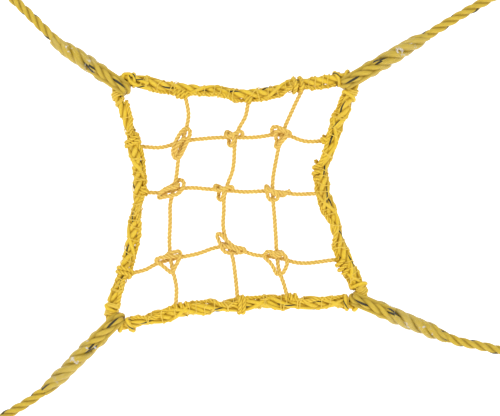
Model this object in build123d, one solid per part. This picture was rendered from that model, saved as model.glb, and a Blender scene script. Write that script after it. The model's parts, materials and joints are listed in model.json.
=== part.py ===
"""Cargo climbing net: four-sided laid-rope border, 4 x 4 mesh of knotted cord and four corner legs.

The net hangs upright in the XZ plane and its front faces -Y. Lengths are millimetres.
"""
from build123d import *
from math import hypot, radians, sin, tan
import os

# Sizes of the ropes
rope_d = 24.0            # border rope and leg ropes
cord_d = 9.0             # mesh cords and selvedge cords
lashing_d = 3.0          # twine that binds the selvedge cord to the border rope
hitch_d = cord_d - 1.0   # mesh cord squeezed flat where it is hitched round the border

# Clearances
lay_gap = 0.3            # between a rope and what lies or is wound on it
eye_gap = 1.0            # between the border rope and a leg's eye, which turns on it
knot_gap = 0.6           # between a cross cord and the knot round it
cord_stagger = cord_d / 2 + 0.5    # upright cords lie this far in front of the net, cross cords behind

# Border: the corners' bends, and the spacing of what is bound on it
corner_bend_r = rope_d   # room for a leg's eye inside the bend
selvedge_setback = 18.0  # from the end of a corner's bend to the end of the selvedge cord
lashing_pitch = 42.0
lashing_w = 6.5
hitch_w = 15.0
seizing_w = 17.0
seizing_setback = 28.0   # from the end of a corner's bend to the middle of its collar
hitch_room = 15.0        # least distance from a lashing's middle to a hitch's middle

# Knots
knot_turns = 3
knot_turn_pitch = 0.8 * cord_d
knot_turn_d = 1.15 * cord_d

# Legs
splice_d = 1.5 * rope_d
splice_end_d = rope_d + 1.0        # where a splice has thinned down to the single rope
throat_d = splice_d - 6.0
sleeve_wall = 1.2
sleeve_start = 62.0      # from the leg's eye centre to the sleeve
sleeve_end_bare = 14.0   # bare splice beyond the sleeve
throat_start = 20.0      # where the splice begins, from the leg's eye centre
taper_l = 26.0

# Outer eyes and their thimbles
thimble_bore_r = 14.0
thimble_wall = 4.0
thimble_w = rope_d + 3.0
thimble_flange_h = 8.0   # how far the flanges stand out from the bottom of the groove
outer_splice_l = 72.0    # from the eye centre to the end of the outer splice
outer_throat_gap = 2.0   # from the thimble to where the outer splice begins
eye_seizing_w = 20.0
eye_seizing_place = 56.0

net_middle = (0, 20)     # a point well inside the net, as (x, z)

rope_r = rope_d / 2
cord_r = cord_d / 2
knot_turn_r = knot_turn_d / 2
selvedge_offset = rope_r + lay_gap + cord_r
eye_r = rope_r + eye_gap + rope_r
thimble_groove_r = rope_r + lay_gap
outer_eye_r = thimble_bore_r + thimble_wall + thimble_groove_r

# Border route, clockwise from the top left corner, as (x, z)
corners = {
    "top_left": (-350, 330),
    "top_right": (284, 348),
    "bottom_right": (310, -266),
    "bottom_left": (-365, -310),
}
sides = {
    "top": [(-250, 310), (-150, 297.5), (-62.5, 286), (-12.5, 284), (50, 290), (125, 309), (190, 321)],
    "right": [(235, 250), (200, 162.5), (177.5, 90), (185, 32.5), (207.5, -30), (227.5, -105), (258, -170)],
    "bottom": [(205, -234.5), (125, -238), (12.5, -239), (-62.5, -244), (-150, -255), (-250, -277.5)],
    "left": [(-337, -230), (-317.5, -167.5), (-292.5, -67.5), (-279, 7.5), (-280, 107.5), (-299, 200)],
}
side_ends = {
    "top": ("top_left", "top_right"),
    "right": ("top_right", "bottom_right"),
    "bottom": ("bottom_right", "bottom_left"),
    "left": ("bottom_left", "top_left"),
}

# Mesh routes, as (x, z). The first and last points are where the cord is hitched to the border.
upright_routes = [
    [(-162, 299), (-152, 243), (-155, 212), (-163, 188), (-173, 150), (-180, 118), (-182, 88), (-186, 66),
     (-194, 33), (-200, 6), (-199, -32), (-201, -70), (-201, -96), (-199, -117), (-194, -153), (-186, -182),
     (-182, -208), (-183, -260)],
    [(-5, 284), (-8, 233), (-21, 210), (-31, 193), (-39, 158), (-39, 125), (-43, 92), (-54, 66), (-66, 26),
     (-65, -8), (-68, -42), (-63, -72), (-46, -112), (-40, -140), (-37, -166), (-34, -190), (-30, -242)],
    [(127, 309), (111, 256), (98, 227), (88, 205), (74, 164), (67, 128), (60, 94), (56, 64), (57, 18),
     (61, -18), (63, -52), (65, -80), (66, -104), (70, -148), (77, -170), (85, -190), (93, -237)],
]
cross_routes = [
    [(-290, 152), (-240, 150), (-212, 153), (-190, 161), (-146, 171), (-118, 173), (-88, 176), (-60, 177),
     (-16, 176), (14, 177), (38, 180), (58, 184), (98, 182), (124, 170), (148, 165), (200, 163)],
    [(-280, 40), (-230, 37), (-209, 41), (-172, 49), (-142, 51), (-112, 48), (-87, 46), (-45, 43), (-16, 40),
     (14, 41), (38, 43), (80, 40), (104, 35), (130, 34), (184, 40)],
    [(-315, -160), (-264, -157), (-243, -144), (-221, -134), (-178, -124), (-150, -119), (-122, -112),
     (-97, -102), (-74, -96), (-36, -100), (-10, -111), (17, -119), (42, -120), (84, -127), (108, -136),
     (136, -139), (164, -136), (188, -133), (236, -122)],
]
upright_sides = ("top", "bottom")
cross_sides = ("left", "right")

# Legs: the direction in which each leaves its corner, the splice's length, and the rope's route beyond it
legs = {
    "top_left": {"away": (-0.828, 0.561), "splice_l": 196.0,
                 "route": [(-515, 447), (-549, 482), (-669, 598)]},
    "top_right": {"away": (0.862, 0.507), "splice_l": 214.0,
                  "route": [(478, 453), (514, 475), (731, 598)]},
    "bottom_right": {"away": (0.921, -0.390), "splice_l": 228.0,
                     "route": [(526, -336), (572, -343), (743, -385)]},
    "bottom_left": {"away": (-0.711, -0.703), "splice_l": 240.0,
                    "route": [(-546, -480), (-584, -502), (-743, -598)]},
}


def at(point, y=0.0):
    return (point[0], y, point[1])


def unit(a, b):
    length = hypot(b[0] - a[0], b[1] - a[1])
    return ((b[0] - a[0]) / length, (b[1] - a[1]) / length)


def moved(point, direction, distance):
    return (point[0] + direction[0] * distance, point[1] + direction[1] * distance)


def distance(a, b):
    return hypot(b[0] - a[0], b[1] - a[1])


def arc_radius(before, point, after):
    """Largest tangent arc that takes 0.45 of the shorter run on each side of a point."""
    turn = Vector(*at(unit(before, point))).get_angle(Vector(*at(unit(point, after))))
    shorter = min(distance(before, point), distance(point, after))
    return 0.45 * shorter / tan(radians(turn / 2))


def route_radii(points):
    return [arc_radius(*points[i - 1:i + 2]) for i in range(1, len(points) - 1)]


def route_path(points, y=0.0):
    return FilletPolyline(*[at(p, y) for p in points], radius=route_radii(points))


def offset_route(points, radii, inset):
    """The vertices and arc radii of a path parallel to a route, on its right-hand side."""
    new_points = []
    new_radii = []
    for i, point in enumerate(points):
        before = unit(points[i - 1], point) if i else unit(point, points[i + 1])
        after = unit(point, points[i + 1]) if i < len(points) - 1 else before
        right = ((before[1] + after[1]) / 2, -(before[0] + after[0]) / 2)
        size = hypot(*right)
        new_points.append(moved(point, (right[0] / size, right[1] / size), inset / size))
        if 0 < i < len(points) - 1:
            turns_right = before[0] * after[1] - before[1] * after[0] < 0
            new_radii.append(radii[i - 1] - inset if turns_right else radii[i - 1] + inset)
    return new_points, new_radii


def tube(path, diameter, name):
    """Sweeps a round rope along a path and prints how near its volume is to section times length."""
    start = Plane(origin=path @ 0, z_dir=path % 0)
    rope = sweep(start * Circle(diameter / 2), path=path)
    ratio = rope.volume / (Circle(diameter / 2).area * path.length)
    print(name, "length", round(path.length, 1), "volume / (section x length)", round(ratio, 4))
    return rope


def bundle_plane(point, tangent):
    """A plane across the border at a point, with its X axis towards the middle of the net."""
    inward = tangent.cross(Vector(0, 1, 0))
    if inward.dot(Vector(*at(net_middle)) - point) < 0:
        inward = -inward
    return Plane(origin=point, x_dir=inward, z_dir=tangent)


def station_plane(path, station):
    return bundle_plane(path.position_at(station, PositionMode.LENGTH),
                        path.tangent_at(station, PositionMode.LENGTH))


def border_spot(side, near):
    nearest = Vertex(*at(near))
    edge = min(side_paths[side].edges(), key=lambda e: e.distance_to(nearest))
    spot = edge.closest_points(nearest)[0]
    return bundle_plane(spot, edge.tangent_at(edge.param_at_point(spot)))


def bundle_outline(stand_off):
    """Outline of border rope and selvedge cord together, this far outside both."""
    rounds = Circle(rope_r + stand_off) + Pos(selvedge_offset, 0) * Circle(cord_r + stand_off)
    return make_hull(rounds.edges())


def bundle_band(plane, thickness, width):
    """A band wound tightly round border rope and selvedge cord."""
    wall = bundle_outline(lay_gap + thickness) - bundle_outline(lay_gap)
    return extrude(plane * wall, amount=width / 2, both=True)


def rope_band(plane, inner_r, thickness, width):
    wall = Circle(inner_r + lay_gap + thickness) - Circle(inner_r + lay_gap)
    return extrude(plane * wall, amount=width / 2, both=True)


def knot(cross, upright):
    """Turns of the upright cord round the cross cord, as one ridged barrel."""
    near = min(cross.edges(), key=lambda e: e.distance_to(upright))
    spot = near.closest_points(upright)[0]
    along = near.tangent_at(near.param_at_point(spot))
    centre_r = cord_r + knot_gap + knot_turn_r
    turns = Sketch()
    for turn in range(knot_turns):
        place = (turn - (knot_turns - 1) / 2) * knot_turn_pitch
        turns += Pos(centre_r, place) * Circle(knot_turn_r)
    barrel = revolve(turns, Axis.Y)
    plane = Plane(origin=spot, x_dir=Vector(0, 1, 0), z_dir=along.cross(Vector(0, 1, 0)))
    return plane * barrel


def hitched_route(route, planes):
    """A mesh route whose ends stop inside the hitches round the border."""
    reach = selvedge_offset + cord_r + lay_gap + hitch_d / 2
    first, last = [plane.origin + plane.x_dir * reach for plane in planes]
    return [(first.X, first.Z), *route[1:-1], (last.X, last.Z)]


def corner_bend(corner):
    """A corner's bend: its centre, its two ends, the bisector, and half the angle between the sides."""
    place = border_points.index(corners[corner])
    before = unit(corners[corner], border_points[place - 1])
    after = unit(corners[corner], border_points[place + 1])
    middle = (before[0] + after[0], before[1] + after[1])
    bisector = (middle[0] / hypot(*middle), middle[1] / hypot(*middle))
    half_corner = radians(Vector(*at(before)).get_angle(Vector(*at(after))) / 2)
    centre = moved(corners[corner], bisector, corner_bend_r / sin(half_corner))
    ends = [moved(corners[corner], way, corner_bend_r / tan(half_corner)) for way in (before, after)]
    return centre, ends, bisector, half_corner


def write(name, shape):
    export_step(shape, f"parts/{name}.step")
    print("wrote", name)


os.makedirs("parts", exist_ok=True)

# Sides of the border, from corner to corner, and the selvedge cord along the inside of each
border_points = []
for side, points in sides.items():
    border_points += [corners[side_ends[side][0]], *points]
side_paths = {}
border_rope = Part()
for side, points in sides.items():
    route = [corners[side_ends[side][0]], *points, corners[side_ends[side][1]]]
    run_start = corner_bend(side_ends[side][0])[1][1]
    run_end = corner_bend(side_ends[side][1])[1][0]
    run = [run_start, *points, run_end]
    radii = route_radii(run)
    side_paths[side] = FilletPolyline(*[at(p) for p in route], radius=radii)
    inner_points, inner_radii = offset_route(route, radii, selvedge_offset)
    inner_path = FilletPolyline(*[at(p) for p in inner_points], radius=inner_radii)
    bare = [corner_bend_r / tan(corner_bend(corner)[3]) + selvedge_setback for corner in side_ends[side]]
    inner_path = inner_path.trim(bare[0] / inner_path.length, 1 - bare[1] / inner_path.length)
    write(f"selvedge_cord_{side}", tube(inner_path, cord_d, f"selvedge_cord_{side}"))
    run_path = FilletPolyline(*[at(p) for p in run], radius=radii)
    border_rope += tube(run_path, rope_d, f"border_rope {side}")
    print(side, "border radii", [round(r) for r in radii])

# The border rope is endless, so a bend at each corner joins its four sides
for corner in corners:
    centre, ends, bisector, _ = corner_bend(corner)
    outermost = moved(centre, bisector, -corner_bend_r)
    bend = ThreePointArc(at(ends[0]), at(outermost), at(ends[1]))
    border_rope += tube(bend, rope_d, f"border_rope {corner}")
write("border_rope", border_rope)

# Mesh cords. Every hitch is a band round the border, made in one with its cord.
cord_sets = {
    "upright": (upright_routes, upright_sides, -cord_stagger),
    "cross": (cross_routes, cross_sides, cord_stagger),
}
cord_paths = {}
hitches = {side: [] for side in sides}
for kind, (routes, ends, y) in cord_sets.items():
    for number, route in enumerate(routes, 1):
        planes = [border_spot(ends[0], route[0]), border_spot(ends[1], route[-1])]
        for side, plane in zip(ends, planes):
            hitches[side].append(plane)
        points = hitched_route(route, planes)
        print(kind, number, "radii", [round(r) for r in route_radii(points)])
        cord_paths[kind, number] = (route_path(points, y), planes)
for (kind, number), (path, planes) in cord_paths.items():
    name = f"mesh_cord_{kind}_{number}"
    cord = tube(path, cord_d, name)
    for plane in planes:
        cord += bundle_band(plane, hitch_d, hitch_w)
    if kind == "upright":
        for (other, _), (cross_path, _) in cord_paths.items():
            if other == "cross":
                cord += knot(cross_path, path)
    write(name, cord)

# Twine lashings along each side, except where a hitch is, and the collars beside each corner
collars = {corner: [] for corner in corners}
for side, path in side_paths.items():
    setbacks = [corner_bend_r / tan(corner_bend(corner)[3]) + seizing_setback for corner in side_ends[side]]
    first, last = setbacks[0], path.length - setbacks[1]
    for corner, station in zip(side_ends[side], (first, last)):
        collars[corner].append(bundle_band(station_plane(path, station), lashing_d, seizing_w))
    count = round((last - first) / lashing_pitch)
    bands = []
    for step in range(1, count):
        plane = station_plane(path, first + step * (last - first) / count)
        if all((plane.origin - hitch.origin).length > hitch_room for hitch in hitches[side]):
            bands.append(bundle_band(plane, lashing_d, lashing_w))
    write(f"lashing_{side}", Compound(bands))
for corner, pair in collars.items():
    write(f"corner_seizing_{corner}", Compound(pair))

# Legs
for corner, leg in legs.items():
    bend_centre = corner_bend(corner)[0]
    away = (leg["away"][0] / hypot(*leg["away"]), leg["away"][1] / hypot(*leg["away"]))
    eye_centre = moved(bend_centre, away, corner_bend_r)
    axis = Vector(away[1], 0, -away[0])
    print(corner, "hinge at", [round(c, 2) for c in eye_centre], "axis", [round(c, 4) for c in axis])

    # Eye round the border rope, then the splice, both on a plane whose X axis is the leg's direction
    leg_plane = Plane(origin=at(eye_centre), x_dir=at(away), z_dir=axis)
    eye = leg_plane * Torus(eye_r, rope_r)
    splice_end = leg["splice_l"]
    outline = Polyline((throat_start, 0), (throat_start, throat_d / 2),
                       (throat_start + taper_l, splice_d / 2),
                       (splice_end - taper_l, splice_d / 2), (splice_end, splice_end_d / 2), (splice_end, 0),
                       close=True)
    splice = leg_plane * revolve(make_face(outline), Axis.X)

    # Single rope, from inside the splice to inside the outer splice
    outer_centre = leg["route"][-1]
    incoming = unit(outer_centre, leg["route"][-2])
    splice_inside = moved(eye_centre, away, splice_end - taper_l)
    outer_inside = moved(outer_centre, incoming, outer_splice_l - taper_l)
    rope_route = [splice_inside, *leg["route"][:-1], outer_inside]
    print(corner, "radii", [round(r) for r in route_radii(rope_route)])
    single = tube(route_path(rope_route), rope_d, f"leg_rope_{corner}")

    # Outer eye, its splice and its thimble, on a plane whose X axis points back along the rope
    outer_plane = Plane(origin=at(outer_centre), x_dir=at(incoming), z_dir=(0, 1, 0))
    outer_eye = outer_plane * Torus(outer_eye_r, rope_r)
    thimble_outer_r = thimble_bore_r + thimble_wall + thimble_flange_h
    outer_throat = thimble_outer_r + outer_throat_gap
    outer_outline = Polyline((outer_throat, 0), (outer_throat, throat_d / 2),
                             (thimble_outer_r + taper_l / 2, splice_d / 2),
                             (outer_splice_l - taper_l / 2, splice_d / 2),
                             (outer_splice_l, splice_end_d / 2), (outer_splice_l, 0), close=True)
    outer_splice = outer_plane * revolve(make_face(outer_outline), Axis.X)
    write(f"leg_rope_{corner}", eye + splice + single + outer_eye + outer_splice)

    sleeve_l = splice_end - taper_l - sleeve_end_bare - sleeve_start
    sleeve_plane = Plane(origin=at(moved(eye_centre, away, sleeve_start + sleeve_l / 2)), z_dir=at(away))
    write(f"splice_sleeve_{corner}", rope_band(sleeve_plane, splice_d / 2, sleeve_wall, sleeve_l))

    thimble_place = Pos((thimble_bore_r + thimble_outer_r) / 2, 0)
    section = thimble_place * Rectangle(thimble_outer_r - thimble_bore_r, thimble_w)
    section -= Pos(outer_eye_r, 0) * Circle(thimble_groove_r)
    thimble = outer_plane * Rot(90, 0, 0) * revolve(section, Axis.Y)
    write(f"anchor_thimble_{corner}", thimble)

    seizing_plane = Plane(origin=at(moved(outer_centre, incoming, eye_seizing_place)), z_dir=at(incoming))
    write(f"eye_seizing_{corner}", rope_band(seizing_plane, splice_d / 2, lashing_d, eye_seizing_w))
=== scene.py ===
import json
import math
import bpy
import numpy as np
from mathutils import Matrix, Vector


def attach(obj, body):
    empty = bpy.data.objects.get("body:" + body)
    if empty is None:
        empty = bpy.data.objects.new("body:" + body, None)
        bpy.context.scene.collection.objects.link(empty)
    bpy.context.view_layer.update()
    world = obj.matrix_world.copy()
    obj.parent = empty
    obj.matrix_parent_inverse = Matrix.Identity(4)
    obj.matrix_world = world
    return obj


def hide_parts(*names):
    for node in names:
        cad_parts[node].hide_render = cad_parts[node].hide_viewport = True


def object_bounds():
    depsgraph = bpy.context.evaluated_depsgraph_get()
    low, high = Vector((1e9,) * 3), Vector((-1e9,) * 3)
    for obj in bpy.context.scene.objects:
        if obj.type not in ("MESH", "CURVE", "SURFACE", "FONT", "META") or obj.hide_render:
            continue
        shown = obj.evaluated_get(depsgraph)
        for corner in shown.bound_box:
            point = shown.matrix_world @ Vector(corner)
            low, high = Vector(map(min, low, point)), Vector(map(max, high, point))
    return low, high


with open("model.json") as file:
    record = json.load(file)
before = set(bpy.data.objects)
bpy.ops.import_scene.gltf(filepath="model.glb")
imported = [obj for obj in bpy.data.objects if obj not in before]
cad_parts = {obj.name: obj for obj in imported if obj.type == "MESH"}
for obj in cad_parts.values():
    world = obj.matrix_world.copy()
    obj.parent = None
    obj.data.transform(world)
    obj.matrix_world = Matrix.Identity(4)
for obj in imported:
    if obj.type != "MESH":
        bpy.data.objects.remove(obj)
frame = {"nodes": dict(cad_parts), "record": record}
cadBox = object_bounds()
record = frame["record"]
mm = 0.001


# camera and studio

studio = {
    "cameraDistance": 2.951,
    "lens": 85.0,
    "skyStrength": 0.78,
    "keyPower": 26.0,
    "fillPower": 7.0,
    "floorGap": 0.02,
    "floorSize": 2.9,
    "wallBend": 0.8,
    "wallSteps": 12,
}

scene = bpy.context.scene
scene.view_settings.view_transform = "Standard"
scene.view_settings.look = "None"


def addCamera():
    data = bpy.data.cameras.new("camera")
    data.lens = studio["lens"]
    data.sensor_width = 36.0
    camera = bpy.data.objects.new("camera", data)
    camera.location = (0, -studio["cameraDistance"], 0)
    camera.rotation_euler = (math.radians(90), 0, 0)
    scene.collection.objects.link(camera)
    scene.camera = camera


def addAreaLight(name, place, aim, size, power, colour):
    data = bpy.data.lights.new(name, "AREA")
    data.shape = "DISK"
    data.size = size
    data.energy = power
    data.color = colour
    light = bpy.data.objects.new(name, data)
    light.location = place
    direction = np.array(aim) - np.array(place)
    turn = math.atan2(direction[0], -direction[1])
    tip = math.acos(-direction[2] / np.linalg.norm(direction))
    light.rotation_euler = (tip, 0, turn + math.pi)
    scene.collection.objects.link(light)


def addSky():
    world = bpy.data.worlds.new("studioSky")
    world.use_nodes = True
    tree = world.node_tree
    tree.nodes.clear()
    path = tree.nodes.new("ShaderNodeLightPath")
    # plain white to the camera, softer as a light
    strength = tree.nodes.new("ShaderNodeMix")
    strength.inputs["A"].default_value = studio["skyStrength"]
    strength.inputs["B"].default_value = 1.0
    back = tree.nodes.new("ShaderNodeBackground")
    back.inputs["Color"].default_value = (1, 1, 1, 1)
    out = tree.nodes.new("ShaderNodeOutputWorld")
    tree.links.new(path.outputs["Is Camera Ray"], strength.inputs["Factor"])
    tree.links.new(strength.outputs["Result"], back.inputs["Strength"])
    tree.links.new(back.outputs[0], out.inputs[0])
    scene.world = world


addCamera()
addAreaLight("keyLight", (-1.6, -2.2, 2.4), (0, 0, 0), 1.3, studio["keyPower"], (1.0, 0.98, 0.95))
addAreaLight("fillLight", (2.0, -2.0, 0.4), (0, 0, 0), 1.6, studio["fillPower"], (0.96, 0.98, 1.0))
addSky()
print("camera and lights are in")


# routes, in metres, the same points as the solid parts

def flat(pairs):
    return [(x * mm, 0.0, z * mm) for x, z in pairs]


ropeSizes = {
    "rope": {"radius": 12.0 * mm, "lay": 92 * mm, "sides": 20, "steps": 30, "yarnTurns": 2.155},
    "cord": {"radius": 5.6 * mm, "lay": 31 * mm, "sides": 10, "steps": 14, "yarnTurns": 2.155},
    "twine": {"radius": 1.4 * mm, "lay": 8 * mm, "sides": 8, "steps": 6, "yarnTurns": 1.0},
}
strandShare = 0.50
bundle = {"cordGap": -1.2 * mm, "stagger": 5.0 * mm, "hitchReach": 15 * mm}
bundle["offset"] = ropeSizes["rope"]["radius"] + ropeSizes["cord"]["radius"] + bundle["cordGap"]

sides = {
    "top": [(-250, 310), (-150, 297.5), (-62.5, 286), (-12.5, 284), (50, 290), (125, 309), (190, 321)],
    "right": [(235, 250), (200, 162.5), (177.5, 90), (185, 32.5), (207.5, -30), (227.5, -105), (258, -170)],
    "bottom": [(205, -234.5), (125, -238), (12.5, -239), (-62.5, -244), (-150, -255), (-250, -277.5)],
    "left": [(-337, -230), (-317.5, -167.5), (-292.5, -67.5), (-279, 7.5), (-280, 107.5), (-299, 200)],
}
sideEnds = {
    "top": ("top_left", "top_right"),
    "right": ("top_right", "bottom_right"),
    "bottom": ("bottom_right", "bottom_left"),
    "left": ("bottom_left", "top_left"),
}
uprightRoutes = [
    [(-162, 299), (-152, 243), (-155, 212), (-163, 188), (-173, 150), (-180, 118), (-182, 88), (-186, 66),
     (-194, 33), (-200, 6), (-199, -32), (-201, -70), (-201, -96), (-199, -117), (-194, -153), (-186, -182),
     (-182, -208), (-183, -260)],
    [(-5, 284), (-8, 233), (-21, 210), (-31, 193), (-39, 158), (-39, 125), (-43, 92), (-54, 66), (-66, 26),
     (-65, -8), (-68, -42), (-63, -72), (-46, -112), (-40, -140), (-37, -166), (-34, -190), (-30, -242)],
    [(127, 309), (111, 256), (98, 227), (88, 205), (74, 164), (67, 128), (60, 94), (56, 64), (57, 18), (61, -18),
     (63, -52), (65, -80), (66, -104), (70, -148), (77, -170), (85, -190), (93, -237)],
]
crossRoutes = [
    [(-290, 152), (-240, 150), (-212, 153), (-190, 161), (-146, 171), (-118, 173), (-88, 176), (-60, 177),
     (-16, 176), (14, 177), (38, 180), (58, 184), (98, 182), (124, 170), (148, 165), (200, 163)],
    [(-280, 40), (-230, 37), (-209, 41), (-172, 49), (-142, 51), (-112, 48), (-87, 46), (-45, 43), (-16, 40),
     (14, 41), (38, 43), (80, 40), (104, 35), (130, 34), (184, 40)],
    [(-315, -160), (-264, -157), (-243, -144), (-221, -134), (-178, -124), (-150, -119), (-122, -112),
     (-97, -102), (-74, -96), (-36, -100), (-10, -111), (17, -119), (42, -120), (84, -127), (108, -136),
     (136, -139), (164, -136), (188, -133), (236, -122)],
]
legRoutes = {
    "top_left": {"splice": 196.0, "points": [(-515, 447), (-549, 482)], "outer": (-669, 598)},
    "top_right": {"splice": 214.0, "points": [(478, 453), (514, 475)], "outer": (731, 598)},
    "bottom_right": {"splice": 228.0, "points": [(526, -336), (572, -343)], "outer": (743, -385)},
    "bottom_left": {"splice": 240.0, "points": [(-546, -480), (-584, -502)], "outer": (-743, -598)},
}
corners = list(legRoutes)
hinges = {j["name"].removeprefix("leg_swing_"): j for j in record["behaviour"]["joints"]}


# rope making

def unit(v):
    v = np.asarray(v, float)
    return v / np.linalg.norm(v, axis=-1, keepdims=True)


def readRoute(points, closed=False):
    # the smooth line that given points steer, read back as points close together
    data = bpy.data.curves.new("route", "CURVE")
    data.dimensions = "3D"
    spline = data.splines.new("NURBS")
    spline.points.add(len(points) - 1)
    for controlPoint, place in zip(spline.points, points):
        controlPoint.co = (*place, 1)
    spline.use_cyclic_u = closed
    spline.order_u = 3
    spline.use_endpoint_u = not closed
    spline.resolution_u = 24
    holder = bpy.data.objects.new("route", data)
    mesh = bpy.data.meshes.new_from_object(holder)
    line = np.array([v.co[:] for v in mesh.vertices])
    bpy.data.objects.remove(holder)
    bpy.data.curves.remove(data)
    bpy.data.meshes.remove(mesh)
    return line


def evenly(line, step, closed=False):
    # the same line with points a fixed distance apart
    if closed:
        line = np.vstack([line, line[:1]])
    gaps = np.linalg.norm(np.diff(line, axis=0), axis=1)
    line = line[np.r_[True, gaps > 1e-9]]
    along = np.r_[0, np.cumsum(np.linalg.norm(np.diff(line, axis=0), axis=1))]
    count = max(4, int(round(along[-1] / step)))
    wanted = np.linspace(0, along[-1], count + 1)
    if closed:
        wanted = wanted[:-1]
    return np.stack([np.interp(wanted, along, line[:, i]) for i in range(3)], axis=1), wanted, along[-1]


def framesAlong(line, closed, hint):
    # tangents, and normals that turn as little as they can
    if closed:
        tangent = unit(np.roll(line, -1, axis=0) - np.roll(line, 1, axis=0))
    else:
        tangent = unit(np.gradient(line, axis=0))
    normal = np.zeros_like(line)
    current = np.asarray(hint, float)
    for i, t in enumerate(tangent):
        current = current - t * np.dot(current, t)
        current = current / np.linalg.norm(current)
        normal[i] = current
    return tangent, normal, np.cross(tangent, normal)


def newStore():
    return {"points": [], "count": 0, "quads": [], "uv": [], "shade": [], "slots": [], "caps": [], "capSlots": []}


def addTube(store, path, outward, radius, sideCount, along, yarnTurns, slot, closed, shadeTurn=1.0):
    # one strand: rings round a path, with the yarns' lay kept as a second coordinate
    if closed:
        tangent = unit(np.roll(path, -1, axis=0) - np.roll(path, 1, axis=0))
    else:
        tangent = unit(np.gradient(path, axis=0))
    first = unit(outward - tangent * np.sum(outward * tangent, axis=1, keepdims=True))
    second = np.cross(tangent, first)
    angle = np.arange(sideCount) / sideCount * 2 * np.pi
    radius = np.broadcast_to(radius, (len(path),))
    ring = first[:, None] * np.cos(angle)[None, :, None] + second[:, None] * np.sin(angle)[None, :, None]
    points = path[:, None] + ring * radius[:, None, None]
    count = len(path)
    index = store["count"] + np.arange(count * sideCount).reshape(count, sideCount)
    if closed:
        a, b = index, np.roll(index, -1, axis=0)
        spacing = along[1] - along[0]
        along = np.r_[along, along[-1] + spacing]
        turns = np.r_[yarnTurns, yarnTurns[-1] + (yarnTurns[1] - yarnTurns[0])]
    else:
        a, b = index[:-1], index[1:]
        turns = yarnTurns
    quads = np.stack([a, np.roll(a, -1, axis=1), np.roll(b, -1, axis=1), b], axis=-1).reshape(-1, 4)
    around = np.arange(sideCount + 1) / sideCount
    v = around[None, :] + turns[:, None]
    u = np.broadcast_to(along[:, None], v.shape)
    uv = np.stack([u, v], axis=-1)
    corner = np.stack([uv[:-1, :-1], uv[:-1, 1:], uv[1:, 1:], uv[1:, :-1]], axis=2).reshape(-1, 4, 2)
    # how far each point faces away from the rope's core, kept as the outward attribute: the mask for painted shade
    # on the strands' inner sides
    shade = 0.5 + 0.5 * np.cos(angle)[None, :] * np.ones((count, 1)) * shadeTurn
    store["points"].append(points.reshape(-1, 3))
    store["shade"].append(shade.reshape(-1))
    store["quads"].append(quads)
    store["uv"].append(corner)
    store["slots"].append(np.full(len(quads), slot))
    if not closed:
        store["caps"] += [index[0][::-1], index[-1]]
        store["capSlots"] += [slot, slot]
    store["count"] += count * sideCount


def finishMesh(store, name, materials):
    points = np.concatenate(store["points"])
    quads = np.concatenate(store["quads"])
    caps = store["caps"]
    totals = np.r_[np.full(len(quads), 4), [len(c) for c in caps]].astype(np.int32)
    loops = np.concatenate([quads.reshape(-1), *caps]).astype(np.int32)
    mesh = bpy.data.meshes.new(name)
    mesh.vertices.add(len(points))
    mesh.vertices.foreach_set("co", points.reshape(-1).astype(np.float32))
    mesh.loops.add(len(loops))
    mesh.loops.foreach_set("vertex_index", loops)
    mesh.polygons.add(len(totals))
    starts = np.r_[0, np.cumsum(totals)[:-1]].astype(np.int32)
    mesh.polygons.foreach_set("loop_start", starts)
    mesh.polygons.foreach_set("loop_total", totals)
    slots = np.r_[np.concatenate(store["slots"]), store["capSlots"]].astype(np.int32)
    mesh.polygons.foreach_set("material_index", slots)
    mesh.polygons.foreach_set("use_smooth", np.ones(len(totals), bool))
    mesh.update(calc_edges=True)
    layer = mesh.uv_layers.new(name="ropeMap")
    uv = np.zeros((len(loops), 2), np.float32)
    uv[:len(quads) * 4] = np.concatenate(store["uv"]).reshape(-1, 2)
    layer.data.foreach_set("uv", uv.reshape(-1))
    # the mask that the materials use to paint shade on the strands' inner sides
    shade = mesh.attributes.new("outward", "FLOAT", "POINT")
    shade.data.foreach_set("value", np.concatenate(store["shade"]).astype(np.float32))
    for material in materials:
        mesh.materials.append(material)
    mesh.validate()
    piece = bpy.data.objects.new(name, mesh)
    scene.collection.objects.link(piece)
    return piece


def finishPiece(store, name, mats, body, nodes=()):
    piece = finishMesh(store, name, mats)
    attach(piece, body)
    if nodes:
        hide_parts(*nodes)
    return piece


def layRope(store, line, size, closed=False, hint=(0, 1, 0), thin=None, seed=0):
    # three strands twisted round a line. thin scales the rope's radius along it.
    spec = ropeSizes[size]
    line, along, length = evenly(line, spec["lay"] / spec["steps"], closed)
    _, normal, binormal = framesAlong(line, closed, hint)
    turnCount = length / spec["lay"]
    if closed:
        turnCount = max(1, round(turnCount))
    turn = along / length * turnCount * 2 * np.pi
    scale = np.ones(len(line)) if thin is None else thin(along / length)
    strandRadius = strandShare * spec["radius"] * scale
    layRadius = (1 - strandShare) * spec["radius"] * scale
    waves = along / length * 2 * np.pi * (max(1, round(length / (1.7 * spec["lay"]))) if closed
                                          else length / (1.7 * spec["lay"]))
    for strand in range(3):
        angle = turn + strand * 2 * np.pi / 3
        outward = normal * np.cos(angle)[:, None] + binormal * np.sin(angle)[:, None]
        wobble = 1 + 0.05 * np.sin(waves + strand * 2.1 + seed * 1.7)
        path = line + outward * (layRadius * (1 + 0.03 * np.sin(2 * waves + strand + seed)))[:, None]
        yarns = turn / (2 * np.pi) * spec["yarnTurns"] + strand * 0.37 + seed * 0.21
        slot = 1 if strand == 0 else 0
        addTube(store, path, outward, strandRadius * wobble, spec["sides"], along, yarns, slot, closed)
    return line, length


def layTwine(store, line, closed=False, radius=None):
    spec = ropeSizes["twine"]
    radius = radius or spec["radius"]
    line, along, _ = evenly(line, spec["lay"] / spec["steps"], closed)
    _, normal, _ = framesAlong(line, closed, (0, 1, 0))
    addTube(store, line, normal, radius, spec["sides"], along, along / spec["lay"], 0, closed, 0.4)


# materials

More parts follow.
